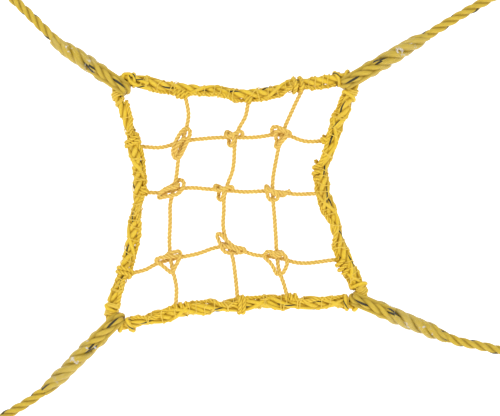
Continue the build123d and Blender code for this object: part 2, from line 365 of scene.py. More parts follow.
def addNode(tree, kind, place, **values):
    node = tree.nodes.new(kind)
    node.location = place
    for key, value in values.items():
        if key in node.inputs:
            node.inputs[key].default_value = value
        else:
            setattr(node, key, value)
    return node


def newGroup(name, inputs, outputs):
    group = bpy.data.node_groups.new(name, "ShaderNodeTree")
    for label, kind, value in inputs:
        socket = group.interface.new_socket(label, in_out="INPUT", socket_type=kind)
        socket.default_value = value
    for label, kind in outputs:
        group.interface.new_socket(label, in_out="OUTPUT", socket_type=kind)
    return group, group.nodes.new("NodeGroupInput"), group.nodes.new("NodeGroupOutput")


def math2(tree, operation, a, b, place=(0, 0)):
    node = addNode(tree, "ShaderNodeMath", place, operation=operation)
    for socket, value in zip(node.inputs, (a, b)):
        if isinstance(value, (int, float)):
            socket.default_value = value
        elif value is not None:
            tree.links.new(value, socket)
    return node.outputs[0]


def remap(tree, value, place, source=(0.0, 1.0), target=(0.0, 1.0), **values):
    node = addNode(tree, "ShaderNodeMapRange", place, **values)
    for label, limit in zip(("From Min", "From Max", "To Min", "To Max"), (*source, *target)):
        node.inputs[label].default_value = limit
    tree.links.new(value, node.inputs["Value"])
    return node.outputs[0]


def addBump(tree, shader, height, place, strength, distance):
    node = addNode(tree, "ShaderNodeBump", place, Strength=strength, Distance=distance)
    tree.links.new(height, node.inputs["Height"])
    tree.links.new(node.outputs[0], shader.inputs["Normal"])


def newMaterial(name):
    material = bpy.data.materials.new(name)
    material.use_nodes = True
    return material, material.node_tree, material.node_tree.nodes["Principled BSDF"]


def buildYarnGroup():
    # split-film yarns along the strand: ridges, fine streaks and the tracer's place
    group, inside, outside = newGroup("yarnLay", [
        ("Yarns", "NodeSocketFloat", 9.0),
        ("Streak Length", "NodeSocketFloat", 60.0),
        ("Tracer Width", "NodeSocketFloat", 0.1),
    ], [("Height", "NodeSocketFloat"), ("Streaks", "NodeSocketFloat"), ("Tracer", "NodeSocketFloat"),
        ("Yarn Tone", "NodeSocketFloat")])
    uv = addNode(group, "ShaderNodeUVMap", (-900, 0), uv_map="ropeMap")
    split = addNode(group, "ShaderNodeSeparateXYZ", (-700, 0))
    group.links.new(uv.outputs[0], split.inputs[0])
    along, around = split.outputs[0], split.outputs[1]
    scaled = math2(group, "MULTIPLY", around, inside.outputs["Yarns"])
    ridge = math2(group, "ABSOLUTE", math2(group, "SINE", math2(group, "MULTIPLY", scaled, math.pi), None), None)
    ridge = math2(group, "POWER", ridge, 0.6)
    streakAlong = math2(group, "MULTIPLY", along, inside.outputs["Streak Length"])
    streakAround = math2(group, "MULTIPLY", scaled, 5.0)
    place = addNode(group, "ShaderNodeCombineXYZ", (-300, -200))
    group.links.new(streakAlong, place.inputs[0])
    group.links.new(streakAround, place.inputs[1])
    streaks = addNode(group, "ShaderNodeTexNoise", (-100, -200), Scale=1.0, Detail=3.0, Roughness=0.6)
    group.links.new(place.outputs[0], streaks.inputs["Vector"])
    tone = addNode(group, "ShaderNodeTexWhiteNoise", (-100, -400), noise_dimensions="1D")
    group.links.new(math2(group, "FLOOR", scaled, None), tone.inputs["W"])
    height = math2(group, "ADD", ridge, math2(group, "MULTIPLY", streaks.outputs[0], 0.6))
    fraction = math2(group, "FRACT", around, None)
    away = math2(group, "ABSOLUTE", math2(group, "SUBTRACT", fraction, 0.5), None)
    tracer = addNode(group, "ShaderNodeMapRange", (100, -600), interpolation_type="SMOOTHSTEP")
    tracer.inputs["From Max"].default_value = 0.0
    group.links.new(away, tracer.inputs["Value"])
    group.links.new(inside.outputs["Tracer Width"], tracer.inputs["From Min"])
    edge = math2(group, "MULTIPLY", inside.outputs["Tracer Width"], 0.7)
    group.links.new(edge, tracer.inputs["From Max"])
    group.links.new(height, outside.inputs["Height"])
    group.links.new(streaks.outputs[0], outside.inputs["Streaks"])
    group.links.new(tracer.outputs[0], outside.inputs["Tracer"])
    group.links.new(tone.outputs["Value"], outside.inputs["Yarn Tone"])
    return group


def buildWearAndShadeGroup():
    # weathering: dusty pale patches and dirt specks, and painted shade that darkens the strands' inner sides where
    # they crowd into crevices
    group, inside, outside = newGroup("ropeWearAndShade", [
        ("Patch Size", "NodeSocketFloat", 14.0),
        ("Crevice Depth", "NodeSocketFloat", 0.5),
    ], [("Crevice", "NodeSocketFloat"), ("Patches", "NodeSocketFloat"), ("Specks", "NodeSocketFloat")])
    shade = addNode(group, "ShaderNodeAttribute", (-700, 0), attribute_name="outward")
    crevice = remap(group, shade.outputs["Fac"], (-400, 0), source=(0.45, 0.95), interpolation_type="SMOOTHSTEP")
    place = addNode(group, "ShaderNodeTexCoord", (-900, -300))
    patches = addNode(group, "ShaderNodeTexNoise", (-600, -300), Detail=3.0, Roughness=0.55)
    group.links.new(place.outputs["Object"], patches.inputs["Vector"])
    group.links.new(inside.outputs["Patch Size"], patches.inputs["Scale"])
    specks = addNode(group, "ShaderNodeTexNoise", (-600, -600), Scale=420.0, Detail=2.0)
    group.links.new(place.outputs["Object"], specks.inputs["Vector"])
    specked = remap(group, specks.outputs[0], (-400, -600), source=(0.62, 0.75))
    # painted shade: how strongly the inner sides of the strands are darkened
    depth = math2(group, "SUBTRACT", 1.0, crevice)
    depth = math2(group, "MULTIPLY", depth, inside.outputs["Crevice Depth"])
    group.links.new(depth, outside.inputs["Crevice"])
    group.links.new(patches.outputs[0], outside.inputs["Patches"])
    group.links.new(specked, outside.inputs["Specks"])
    return group


yarnGroup = buildYarnGroup()
wearAndShadeGroup = buildWearAndShadeGroup()


def mixColour(tree, factor, a, b, place):
    node = addNode(tree, "ShaderNodeMix", place, data_type="RGBA")
    for socket, value in zip((node.inputs[0], node.inputs[6], node.inputs[7]), (factor, a, b)):
        if isinstance(value, (int, float, tuple)):
            socket.default_value = value
        else:
            tree.links.new(value, socket)
    return node.outputs[2]


def ropeMaterial(name, look):
    material, tree, shader = newMaterial(name)
    yarns = addNode(tree, "ShaderNodeGroup", (-900, 0), node_tree=yarnGroup)
    yarns.inputs["Yarns"].default_value = look["yarns"]
    yarns.inputs["Streak Length"].default_value = look["streaks"]
    yarns.inputs["Tracer Width"].default_value = look["tracer"]
    wearAndShade = addNode(tree, "ShaderNodeGroup", (-900, -300), node_tree=wearAndShadeGroup)
    wearAndShade.inputs["Patch Size"].default_value = look["patches"]
    wearAndShade.inputs["Crevice Depth"].default_value = look["crevice"]
    base = mixColour(tree, yarns.outputs["Yarn Tone"], look["colour"], look["second"], (-600, 200))
    streaky = remap(tree, yarns.outputs["Streaks"], (-700, 400), source=(0.35, 0.75))
    base = mixColour(tree, streaky, base, look["pale"], (-450, 250))
    patchy = remap(tree, wearAndShade.outputs["Patches"], (-700, 600), source=(0.42, 0.72))
    amount = math2(tree, "MULTIPLY", patchy, look["patchAmount"])
    base = mixColour(tree, amount, base, look["dusty"], (-300, 250))
    # painted shade: the strands' inner sides, where they crowd into crevices, are darkened towards the deep colour
    base = mixColour(tree, wearAndShade.outputs["Crevice"], base, look["deep"], (-150, 250))
    specked = math2(tree, "MULTIPLY", wearAndShade.outputs["Specks"], look["specks"])
    base = mixColour(tree, specked, base, look["deep"], (-50, 350))
    if look["hasTracer"]:
        base = mixColour(tree, yarns.outputs["Tracer"], base, look["tracerColour"], (50, 250))
    tree.links.new(base, shader.inputs["Base Color"])
    rough = remap(tree, yarns.outputs["Streaks"], (-300, -100), target=(look["rough"][0], look["rough"][1]))
    tree.links.new(rough, shader.inputs["Roughness"])
    addBump(tree, shader, yarns.outputs["Height"], (-200, -350), look["bump"], look["bumpDepth"])
    shader.inputs["Specular IOR Level"].default_value = look["specular"]
    shader.inputs["Sheen Weight"].default_value = look["sheen"]
    shader.inputs["Sheen Roughness"].default_value = 0.4
    shader.inputs["Coat Weight"].default_value = look["coat"]
    shader.inputs["Coat Roughness"].default_value = 0.12
    return material


# deep is the colour of the dirt specks and also of the painted shade in the strands' crevices
ropeLook = {
    "yarns": 9.0, "streaks": 55.0, "tracer": 0.075, "hasTracer": False, "patches": 9.0, "crevice": 0.55,
    "colour": (0.83, 0.545, 0.016, 1), "second": (0.73, 0.465, 0.014, 1), "pale": (0.91, 0.68, 0.06, 1),
    "dusty": (0.78, 0.54, 0.07, 1), "deep": (0.44, 0.24, 0.012, 1), "tracerColour": (0.040, 0.034, 0.018, 1),
    "patchAmount": 0.5, "specks": 0.2, "rough": (0.38, 0.62), "bump": 0.6, "bumpDepth": 0.8 * mm,
    "specular": 0.32, "sheen": 0.05, "coat": 0.0,
}
legYellow = {"colour": (0.60, 0.40, 0.019, 1), "second": (0.50, 0.33, 0.017, 1), "pale": (0.74, 0.55, 0.065, 1),
             "deep": (0.32, 0.195, 0.016, 1), "dusty": (0.62, 0.44, 0.07, 1), "tracer": 0.1}
filmedYellow = {"colour": (0.54, 0.365, 0.016, 1), "second": (0.43, 0.29, 0.014, 1), "pale": (0.66, 0.48, 0.05, 1),
                "dusty": (0.56, 0.43, 0.11, 1), "deep": (0.24, 0.15, 0.015, 1), "coat": 0.4, "patchAmount": 0.6}
looks = {
    "borderYellow": {},
    "borderYellowTraced": {"hasTracer": True},
    "legYellow": legYellow,
    "legYellowTraced": {**legYellow, "hasTracer": True},
    "filmedYellow": filmedYellow,
    "filmedYellowTraced": {**filmedYellow, "hasTracer": True, "tracer": 0.11},
    "cordGold": {"yarns": 5.0, "streaks": 110.0, "colour": (0.82, 0.55, 0.10, 1), "second": (0.75, 0.48, 0.08, 1),
                 "pale": (0.95, 0.68, 0.16, 1), "deep": (0.56, 0.29, 0.03, 1), "bumpDepth": 0.35 * mm,
                 "dusty": (0.84, 0.57, 0.14, 1), "crevice": 0.5},
    "selvedgeYellow": {"yarns": 5.0, "streaks": 110.0, "colour": (0.85, 0.545, 0.03, 1),
                       "second": (0.76, 0.47, 0.025, 1), "bumpDepth": 0.35 * mm},
    "twineGold": {"yarns": 3.0, "streaks": 200.0, "colour": (0.94, 0.70, 0.075, 1), "second": (0.88, 0.62, 0.05, 1),
                  "pale": (0.95, 0.74, 0.15, 1), "deep": (0.60, 0.35, 0.02, 1), "crevice": 0.3,
                  "bumpDepth": 0.2 * mm, "bump": 0.8},
}
materials = {name: ropeMaterial(name, {**ropeLook, **change}) for name, change in looks.items()}


def filmMaterial():
    # clear wrap: glossy, with small whitish patches painted on as glints of light, milky where it is seen edge on
    material, tree, shader = newMaterial("clearFilm")
    shader.inputs["Base Color"].default_value = (0.90, 0.89, 0.84, 1)
    shader.inputs["Roughness"].default_value = 0.1
    shader.inputs["Specular IOR Level"].default_value = 1.0
    shader.inputs["Coat Weight"].default_value = 1.0
    shader.inputs["Coat Roughness"].default_value = 0.04
    place = addNode(tree, "ShaderNodeTexCoord", (-900, 0))
    glintNoise = addNode(tree, "ShaderNodeTexNoise", (-700, 0), Scale=80.0, Detail=2.0, Roughness=0.5)
    tree.links.new(place.outputs["Object"], glintNoise.inputs["Vector"])
    # painted highlight: small whitish patches of film stand in for glints of light on the wrap
    paintedGlint = remap(tree, glintNoise.outputs[0], (-500, 0), source=(0.62, 0.72), target=(0.0, 0.6))
    edge = addNode(tree, "ShaderNodeLayerWeight", (-700, -250), Blend=0.35)
    rim = math2(tree, "MULTIPLY", edge.outputs["Facing"], 0.08)
    alpha = math2(tree, "ADD", paintedGlint, rim)
    tree.links.new(alpha, shader.inputs["Alpha"])
    crease = addNode(tree, "ShaderNodeTexNoise", (-700, -500), Scale=120.0, Detail=3.0)
    tree.links.new(place.outputs["Object"], crease.inputs["Vector"])
    addBump(tree, shader, crease.outputs[0], (-300, -400), 0.6, 1.0 * mm)
    return material


def steelMaterial():
    material, tree, shader = newMaterial("zincSteel")
    shader.inputs["Metallic"].default_value = 1.0
    place = addNode(tree, "ShaderNodeTexCoord", (-900, 0))
    spangle = addNode(tree, "ShaderNodeTexVoronoi", (-700, 0), Scale=160.0)
    tree.links.new(place.outputs["Object"], spangle.inputs["Vector"])
    grime = addNode(tree, "ShaderNodeTexNoise", (-700, -300), Scale=60.0, Detail=5.0)
    tree.links.new(place.outputs["Object"], grime.inputs["Vector"])
    tone = mixColour(tree, spangle.outputs["Color"], (0.46, 0.47, 0.48, 1), (0.62, 0.63, 0.64, 1), (-450, 0))
    dark = remap(tree, grime.outputs[0], (-450, -300), source=(0.5, 0.75))
    tone = mixColour(tree, dark, tone, (0.22, 0.20, 0.17, 1), (-200, 0))
    tree.links.new(tone, shader.inputs["Base Color"])
    rough = remap(tree, grime.outputs[0], (-200, -200), target=(0.28, 0.55))
    tree.links.new(rough, shader.inputs["Roughness"])
    addBump(tree, shader, grime.outputs[0], (-200, -500), 0.25, 0.3 * mm)
    return material


film = filmMaterial()
steel = steelMaterial()
borderPair = [materials["borderYellow"], materials["borderYellowTraced"]]
legPair = [materials["legYellow"], materials["legYellowTraced"]]
filmedPair = [materials["filmedYellow"], materials["filmedYellowTraced"]]
cordPair = [materials["cordGold"], materials["cordGold"]]
twineOnly = [materials["twineGold"]]
selvedgePair = [materials["selvedgeYellow"], materials["selvedgeYellow"]]
print("materials are in")


# border bundle

def place2(pair):
    return np.array([pair[0] * mm, 0.0, pair[1] * mm])


def cornerPoint(corner, before, after):
    # the steering point that takes the border through the corner's hinge
    middle = np.array(hinges[corner]["pos_m"], float)
    return (8 * middle - place2(before) - place2(after)) / 6


def borderRoute():
    route = []
    names = list(sides)
    for i, side in enumerate(names):
        previous = sides[names[i - 1]]
        route.append(cornerPoint(sideEnds[side][0], previous[-1], sides[side][0]))
        route += [place2(p) for p in sides[side]]
    return route


borderLine, borderAlong, borderLength = evenly(readRoute(borderRoute(), closed=True), 2 * mm, closed=True)


border = {"swell": 1.06, "cornerBare": 46 * mm, "cornerBlend": 30 * mm}


def borderSwell(share):
    # the rope is opened up by the cords laid into it, except where the legs' eyes hold it
    along = share * borderLength
    swell = np.ones(len(share))
    gap = np.full(len(share), borderLength)
    for corner in corners:
        hold = borderAlong[cornerIndex[corner]]
        apart = np.abs(along - hold)
        gap = np.minimum(gap, np.minimum(apart, borderLength - apart))
    grow = np.clip((gap - border["cornerBare"]) / border["cornerBlend"], 0, 1)
    return swell + (border["swell"] - 1) * grow * grow * (3 - 2 * grow)


def makeBorderRope():
    store = newStore()
    layRope(store, borderLine, "rope", closed=True, hint=(0, -1, 0), seed=1, thin=borderSwell)
    piece = finishMesh(store, "borderRope", borderPair)
    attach(piece, "net")
    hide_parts("border_rope")


cornerIndex = {}
for corner in corners:
    away = borderLine - np.array(hinges[corner]["pos_m"], float)
    cornerIndex[corner] = int(np.argmin(np.linalg.norm(away, axis=1)))
makeBorderRope()


def sideLine(side):
    # the border's line from one corner to the next
    first, last = [cornerIndex[c] for c in sideEnds[side]]
    if last <= first:
        last += len(borderLine)
    return borderLine[np.arange(first, last + 1) % len(borderLine)]


selvedge = {"start": 50 * mm, "wander": 0.8, "lean": 0.45, "wave": 205 * mm,
            "phases": {"top": 0.4, "right": 2.2, "bottom": 3.9, "left": 5.1}}
tucked = {
    "start": 40 * mm, "radius": 4.8 * mm, "wave": 190 * mm, "sink": 4.6 * mm,
    "counts": {"top": 1, "right": 3, "bottom": 3, "left": 1},
    # how much further than "start" the side stays bare beside a corner
    "bare": {("left", "top_left"): 60 * mm},
}
tuckedReach = ropeSizes["rope"]["radius"] * border["swell"] + tucked["radius"] - tucked["sink"]


def sideFrames(side):
    line, along, length = evenly(sideLine(side), 1 * mm)
    tangent = unit(np.gradient(line, axis=0))
    inward = np.cross(tangent, (0, 1, 0))
    centre = np.array([-0.03, 0, 0.03])
    flip = np.sign(np.sum(inward * (centre - line), axis=1))
    inward = inward * flip[:, None]
    return {"line": line, "along": along, "length": length, "tangent": tangent, "inward": inward}


def tuckedRoom(side, along):
    # how far past the start of its tucked strands a place is, from the nearer corner
    f = frames[side]
    first, last = [tucked["start"] + tucked["bare"].get((side, c), 0) for c in sideEnds[side]]
    return np.minimum(along - first, f["length"] - along - last)


frames = {side: sideFrames(side) for side in sides}
front = np.array([0.0, -1.0, 0.0])


def cordAngle(side, distance):
    # where the selvedge cord lies round the border rope: 0 is the net's side, a quarter turn is the front
    wave = distance / selvedge["wave"] * 2 * np.pi + selvedge["phases"][side]
    return selvedge["lean"] + selvedge["wander"] * np.sin(wave) + 0.25 * np.sin(2.3 * wave)


def makeSelvedge(side):
    f = frames[side]
    keep = (f["along"] > selvedge["start"]) & (f["along"] < f["length"] - selvedge["start"])
    angle = cordAngle(side, f["along"])
    direction = f["inward"] * np.cos(angle)[:, None] + front * np.sin(angle)[:, None]
    line = (f["line"] + direction * bundle["offset"])[keep]
    store = newStore()
    layRope(store, line, "cord", hint=(0, -1, 0), seed=len(side))
    finishPiece(store, "selvedgeCord." + side, selvedgePair, "net", [f"selvedge_cord_{side}"])


def tuckedAngle(side, number, along):
    way = 1 if number == 0 else -1
    start = selvedge["phases"][side] * 1.3 + 2.6 * number
    return way * along / tucked["wave"] * 2 * np.pi + start + 0.5 * np.sin(along * 31 + start)


def makeTuckedStrands(side):
    # loose strands laid slantwise over the rope, which fill out the border
    f = frames[side]
    store = newStore()
    for number in range(tucked["counts"][side]):
        keep = tuckedRoom(side, f["along"]) > 0
        along = f["along"]
        angle = tuckedAngle(side, number, along)
        direction = f["inward"] * np.cos(angle)[:, None] + front * np.sin(angle)[:, None]
        line = (f["line"] + direction * tuckedReach)[keep]
        along = along[keep] - along[keep][0]
        thin = np.clip(np.minimum(along, along[-1] - along) / (30 * mm), 0.25, 1) ** 0.5
        addTube(store, line[::3], direction[keep][::3], tucked["radius"] * thin[::3], 16, along[::3],
                along[::3] / (60 * mm), number % 2, False)
    finishPiece(store, "tuckedStrands." + side, borderPair, "net")


for side in sides:
    makeSelvedge(side)
    makeTuckedStrands(side)
print("border is laid up")


def hugging(side, along, angle, gap):
    # a place on a line drawn tight round rope, selvedge cord and tucked strands, this far outside them
    f = frames[side]
    fromEnd = np.minimum(along, f["length"] - along)
    grow = np.clip((fromEnd - border["cornerBare"]) / border["cornerBlend"], 0, 1)
    size = ropeSizes["rope"]["radius"] * (1 + (border["swell"] - 1) * grow)
    rounds = [(0 * along, 0 * along, size), (bundle["offset"], cordAngle(side, along), ropeSizes["cord"]["radius"])]
    covers = [fromEnd >= 0, fromEnd >= selvedge["start"]]
    for number in range(tucked["counts"][side]):
        rounds.append((tuckedReach, tuckedAngle(side, number, along), tucked["radius"]))
        covers.append(tuckedRoom(side, along) >= 0)
    best = np.full(np.shape(angle), -1.0)
    inward = np.zeros(np.shape(angle))
    outward = np.zeros(np.shape(angle))
    for (far, lie, radius), covered in zip(rounds, covers):
        reach = radius + far * np.cos(angle - lie)
        wins = (reach > best) & covered
        best = np.where(wins, reach, best)
        inward = np.where(wins, far * np.cos(lie) + (radius + gap) * np.cos(angle), inward)
        outward = np.where(wins, far * np.sin(lie) + (radius + gap) * np.sin(angle), outward)
    index = np.clip(np.round(along / (1 * mm)).astype(int), 1, len(f["line"]) - 2)
    slide = (along - f["along"][index])[:, None]
    return (f["line"][index] + f["tangent"][index] * slide + f["inward"][index] * inward[:, None]
            + front * outward[:, None])


def wrapPoints(side, distance, gap, turns=1.0, pitch=0.0, tilt=0.0, tiltTurn=0.0, start=0.0):
    # a line wound round the whole border, closed when it makes one turn with no pitch
    steps = max(24, int(40 * turns))
    angle = start + np.arange(steps + (0 if turns == 1.0 and pitch == 0 else 1)) / steps * 2 * np.pi * turns
    along = distance + np.cos(angle - tiltTurn) * tilt + (angle - start) / (2 * np.pi) * pitch
    return hugging(side, along, angle, gap)


def nearestDistance(side, level):
    # how far along a side its rope passes a level: a height on the upright sides, a width on the others
    axis = 2 if side in ("left", "right") else 0
    f = frames[side]
    inner = slice(30, len(f["line"]) - 30)
    return f["along"][inner][np.argmin(np.abs(f["line"][inner, axis] - level * mm))]


# level along the side in mm, turns, tilt in mm, and how thick the line is beside plain twine
lashings = {
    "left": [(262, 2, 5, 1.3), (190, 1, 6, 1), (119, 1, 3, 1), (76, 1, 9, 1), (64, 1, -5, 1), (11, 1, 3, 1),
             (-13, 1, 14, 1), (-35, 1, 6, 1), (-80, 1, 8, 1), (-127, 1, 5, 1), (-183, 1, 15, 1), (-207, 2, 4, 1),
             (-252, 4, 7, 1.2)],
    "right": [(290, 3, 6, 1.3), (231, 2, 6, 1), (206, 1, 13, 1), (134, 1, 4, 1), (77, 1, 4, 1), (65, 1, -12, 1),
              (22, 1, 7, 1), (-2, 1, 13, 1), (-80, 1, 6, 1), (-103, 1, 11, 1), (-155, 1, 5, 1), (-176, 1, 15, 1),
              (-194, 3, 4, 1.2)],
    "top": [(-258, 2, 6, 1.2), (-195, 1, 7, 1), (-120, 1, 8, 1), (-75, 1, 4, 1), (-35, 1, 9, 1), (22, 1, 5, 1),
            (62, 1, 10, 1), (97, 1, 7, 1), (157, 1, 9, 1), (196, 1, 5, 1), (220, 2, 5, 1.2)],
    "bottom": [(-300, 3, 8, 1.3), (-250, 1, 9, 1), (-215, 1, 5, 1), (-137, 1, 8, 1), (-98, 1, 11, 1),
               (-60, 1, 6, 1), (48, 1, 16, 1), (82, 1, 7, 1), (125, 1, 10, 1), (196, 1, 8, 1), (240, 2, 7, 1.2)],
}


lashingBite = 0.7 * mm


def makeLashings(side):
    store = newStore()
    for count, (level, turns, tilt, thickness) in enumerate(lashings[side]):
        radius = ropeSizes["twine"]["radius"] * thickness
        pitch = 0 if turns == 1 else 2.1 * radius
        start = 0.9 + 0.8 * (count % 3)
        distance = nearestDistance(side, level)
        points = wrapPoints(side, distance, radius - lashingBite, turns, pitch, tilt * mm, 1.1 * count, start)
        layTwine(store, points, closed=turns == 1, radius=radius)
        if count % 3:
            continue
        # the two ends of its knot stand out from the rope
        lie = start + 0.15
        f = frames[side]
        at = int(np.clip(distance / mm, 1, len(f["line"]) - 2))
        root = points[0]
        out = f["inward"][at] * math.cos(lie) + front * math.sin(lie)
        for way in (-1, 1):
            along = f["tangent"][at] * way
            tail = readRoute([root, root + out * 2.5 * mm + along * 2 * mm, root + out * 3 * mm + along * 6 * mm,
                              root + out * (1 + count % 3) * mm + along * (9 + 2 * (count % 2)) * mm])
            layTwine(store, tail, radius=radius * 0.85)
    finishPiece(store, "twineLashings." + side, twineOnly, "net", [f"lashing_{side}"])


marling = {"pitch": 47 * mm, "radius": 1.25 * mm, "uneven": 1.1}


def makeMarling(side):
    # one long twine that runs round and round the whole side, between the lashings
    f = frames[side]
    along = f["along"][(f["along"] > 60 * mm) & (f["along"] < f["length"] - 60 * mm)]
    wave = along / (130 * mm) * 2 * np.pi + selvedge["phases"][side]
    angle = along / marling["pitch"] * 2 * np.pi + marling["uneven"] * np.sin(wave) + 0.5 * np.sin(2.7 * wave)
    line = hugging(side, along, angle, marling["radius"] - lashingBite)
    store = newStore()
    layTwine(store, line, radius=marling["radius"])
    finishPiece(store, "marlingTwine." + side, twineOnly, "net")


for side in sides:
    makeLashings(side)
    makeMarling(side)
print("lashings are tied")


# hitches where the mesh cords are made fast. Each lies from one place to another beside its cord, in mm,
# with some turns either round the whole border or round its inner edge
hitches = {
    ("upright", 1, "top"): ("edge", -24, 10, 3.5, 9), ("upright", 1, "bottom"): ("edge", -16, 44, 4, 6),
    ("upright", 2, "top"): ("edge", -6, 7, 1.5, 8), ("upright", 2, "bottom"): ("whole", 0, 18, 2, 0),
    ("upright", 3, "top"): ("whole", -22, 8, 2, 0), ("upright", 3, "bottom"): ("edge", -5, 26, 2.5, 7),
    ("cross", 1, "left"): ("whole", 6, 27, 2.2, 0), ("cross", 1, "right"): ("edge", -7, 9, 2, 8),
    ("cross", 2, "left"): ("edge", 12, -6, 2, 7), ("cross", 2, "right"): ("edge", 32, 74, 3, 8),
    ("cross", 3, "left"): ("whole", -9, 8, 1.6, 0), ("cross", 3, "right"): ("edge", -36, 2, 3, 11),
}
# how far a hitch round the whole border sinks into it
hitchBite = 2.4 * mm
cordEnds = {
    "upright": ("top", "bottom"),
    "cross": ("left", "right"),
}
runsBackwards = ("right", "bottom")


hitchEdge = {"inward": 15 * mm, "outward": 4 * mm, "flatness": 1.25, "steps": 16, "start": 0.6}


def edgeTurns(side, start, end, turns, radius):
    # turns round the inner edge of the border, where the selvedge cord lies
    f = frames[side]
    count = int(turns * hitchEdge["steps"])
    share = np.linspace(0, 1, count)
    angle = hitchEdge["start"] + share * turns * 2 * np.pi
    index = np.clip(((start + (end - start) * share) / mm).astype(int), 1, len(f["line"]) - 2)
    grow = radius * (0.8 + 0.35 * np.sin(share * np.pi))
    inward = hitchEdge["inward"] + grow * np.cos(angle)
    outward = hitchEdge["outward"] + hitchEdge["flatness"] * grow * np.sin(angle)
    return f["line"][index] + f["inward"][index] * inward[:, None] + front * outward[:, None]


def makeHitch(kind, number, end, level):
    side = cordEnds[kind][end]
    form, start, finish, turns, radius = hitches[kind, number, side]
    way = -1 if side in runsBackwards else 1
    distance = nearestDistance(side, level)
    start, finish = distance + way * start * mm, distance + way * finish * mm
    store = newStore()
    if form == "edge":
        points = edgeTurns(side, start, finish, turns, radius * mm)
        layRope(store, readRoute(points[::2]), "cord", seed=number)
    else:
        pitch = (finish - start) / turns
        tilt = 5 * mm * (1 if number % 2 else -1)
        points = wrapPoints(side, start, ropeSizes["cord"]["radius"] - hitchBite, turns, pitch, tilt,
                            0.5 * number, -0.3)
        layRope(store, readRoute(points[::3]), "cord", seed=number)
    return finishPiece(store, f"hitch.{kind}.{number}.{side}", selvedgePair, "net")


# knots, each as loops of cord steered by (x, z, y) in mm from where the two cords cross
knotLoops = {
    (1, 1): [
        [(12, 34, -8), (21, 28, -11), (19, 12, -13), (10, -6, -14), (2, -24, -12), (-6, -40, -8),
         (-20, -42, -4), (-24, -26, -8), (-19, -6, -13), (-8, 16, -12), (2, 30, -9)],
        [(16, 8, -6), (4, 6, -15), (-8, -4, -18), (-15, -18, -16), (-16, -32, -8), (-8, -36, 4), (0, -24, 12),
         (8, -8, 12), (14, 4, 6)],
    ],
    (2, 1): [
        [(-38, -20, -4), (-26, -18, -10), (-8, -14, -15), (10, -12, -15), (22, 0, -12), (28, 16, -6),
         (22, 26, 0), (12, 26, 4), (5, 18, 4), (-8, 8, -8), (-22, 2, -12), (-34, -8, -8)],
        [(-30, -4, -8), (-18, 2, -15), (-4, 6, -18), (10, 8, -14), (14, 16, -4), (6, 14, 10), (-8, 2, 12),
         (-22, -8, 6), (-30, -12, -2)],
    ],
    (3, 1): [
        [(-40, 0, -6), (-24, 6, -12), (-6, 8, -15), (10, 8, -15), (22, 10, -10), (20, -2, -12), (12, -16, -12),
         (4, -34, -6), (-4, -30, -8), (-16, -18, -13), (-30, -8, -11)],
        [(-12, 8, -8), (-8, 15, -10), (6, 18, -12), (20, 22, -8), (26, 14, -2), (18, 6, 6), (4, 2, 12),
         (-8, 2, 8)],
    ],
    (1, 2): [
        [(-24, 14, -6), (-26, 4, -12), (-14, 0, -16), (-4, 8, -16), (8, 14, -12), (16, 14, -6), (17, 5, 2),
         (6, 0, 10), (-8, 6, 12), (-18, 14, 6)],
        [(-12, 10, -14), (-4, 2, -18), (-6, -10, -14), (-10, -22, -6), (-18, -20, 2), (-18, -6, 10),
         (-16, 6, 8)],
    ],
    (2, 2): [
        [(-27, 12, -6), (-28, 2, -12), (-16, -2, -16), (-4, 4, -17), (8, 8, -13), (16, 10, -6), (18, 2, 2),
         (6, -2, 10), (-8, 4, 12), (-20, 12, 6)],
        [(-10, 8, -14), (-2, 0, -18), (-6, -12, -15), (-10, -25, -6), (-19, -22, 2), (-18, -8, 10),
         (-14, 4, 8)],
    ],
    (3, 2): [
        [(-32, 32, -4), (-24, 36, -8), (-12, 24, -13), (0, 12, -15), (14, 0, -14), (36, -2, -8), (40, -10, -2),
         (24, -14, 4), (2, -14, -6), (-12, -12, -12), (-20, 2, -13), (-26, 18, -10)],
        [(-20, 6, -8), (-8, 3, -16), (6, 0, -18), (22, -6, -12), (24, -12, 0), (8, -6, 12), (-8, 4, 12),
         (-18, 10, 4)],
    ],
    (1, 3): [
        [(-28, 10, -4), (-24, 20, -10), (-12, 20, -14), (2, 12, -16), (14, 8, -12), (22, 4, -4), (16, -4, 6),
         (2, 4, 12), (-12, 10, 10), (-22, 6, 4)],
        [(12, 4, -14), (8, -8, -18), (-2, -18, -16), (-12, -32, -8), (-18, -28, 0), (-12, -16, 4),
         (-18, -4, -6), (-16, 8, -14), (-4, 10, -14), (6, 8, -12)],
    ],
    (2, 3): [
        [(-16, 16, -6), (-17, 4, -12), (-6, 2, -16), (10, -2, -16), (26, -6, -10), (34, -8, -4), (24, -12, 4),
         (6, -8, 12), (-8, 4, 10)],
        [(-12, 6, -12), (-14, -10, -15), (-8, -22, -10), (6, -24, -8), (16, -14, -14), (4, -6, -18),
         (-6, 4, -14)],
    ],
    (3, 3): [
        [(-32, 6, -6), (-26, 16, -10), (-14, 15, -14), (0, 10, -16), (10, 13, -14), (20, 6, -12),
         (26, -8, -10), (22, -26, -10), (12, -42, -6), (-2, -42, -6), (-8, -26, -12), (-18, -10, -14),
         (-30, -2, -10)],
        [(-18, 12, -8), (-8, 6, -17), (4, 4, -17), (14, 10, -10), (12, 16, 2), (0, 12, 12), (-12, 10, 8)],
    ],
}
# the cut end that stands out of one knot
knotTails = {(2, 3): [(16, -8, -8), (30, -5, -8), (44, 1, -4)]}


def crossing(cross, upright):
    # where two cords' lines come nearest, seen from the front
    a, b = lines["cross", cross], lines["upright", upright]
    apart = np.linalg.norm(a[:, None, [0, 2]] - b[None, :, [0, 2]], axis=2)
    i, j = np.unravel_index(np.argmin(apart), apart.shape)
    return (a[i] + b[j]) / 2


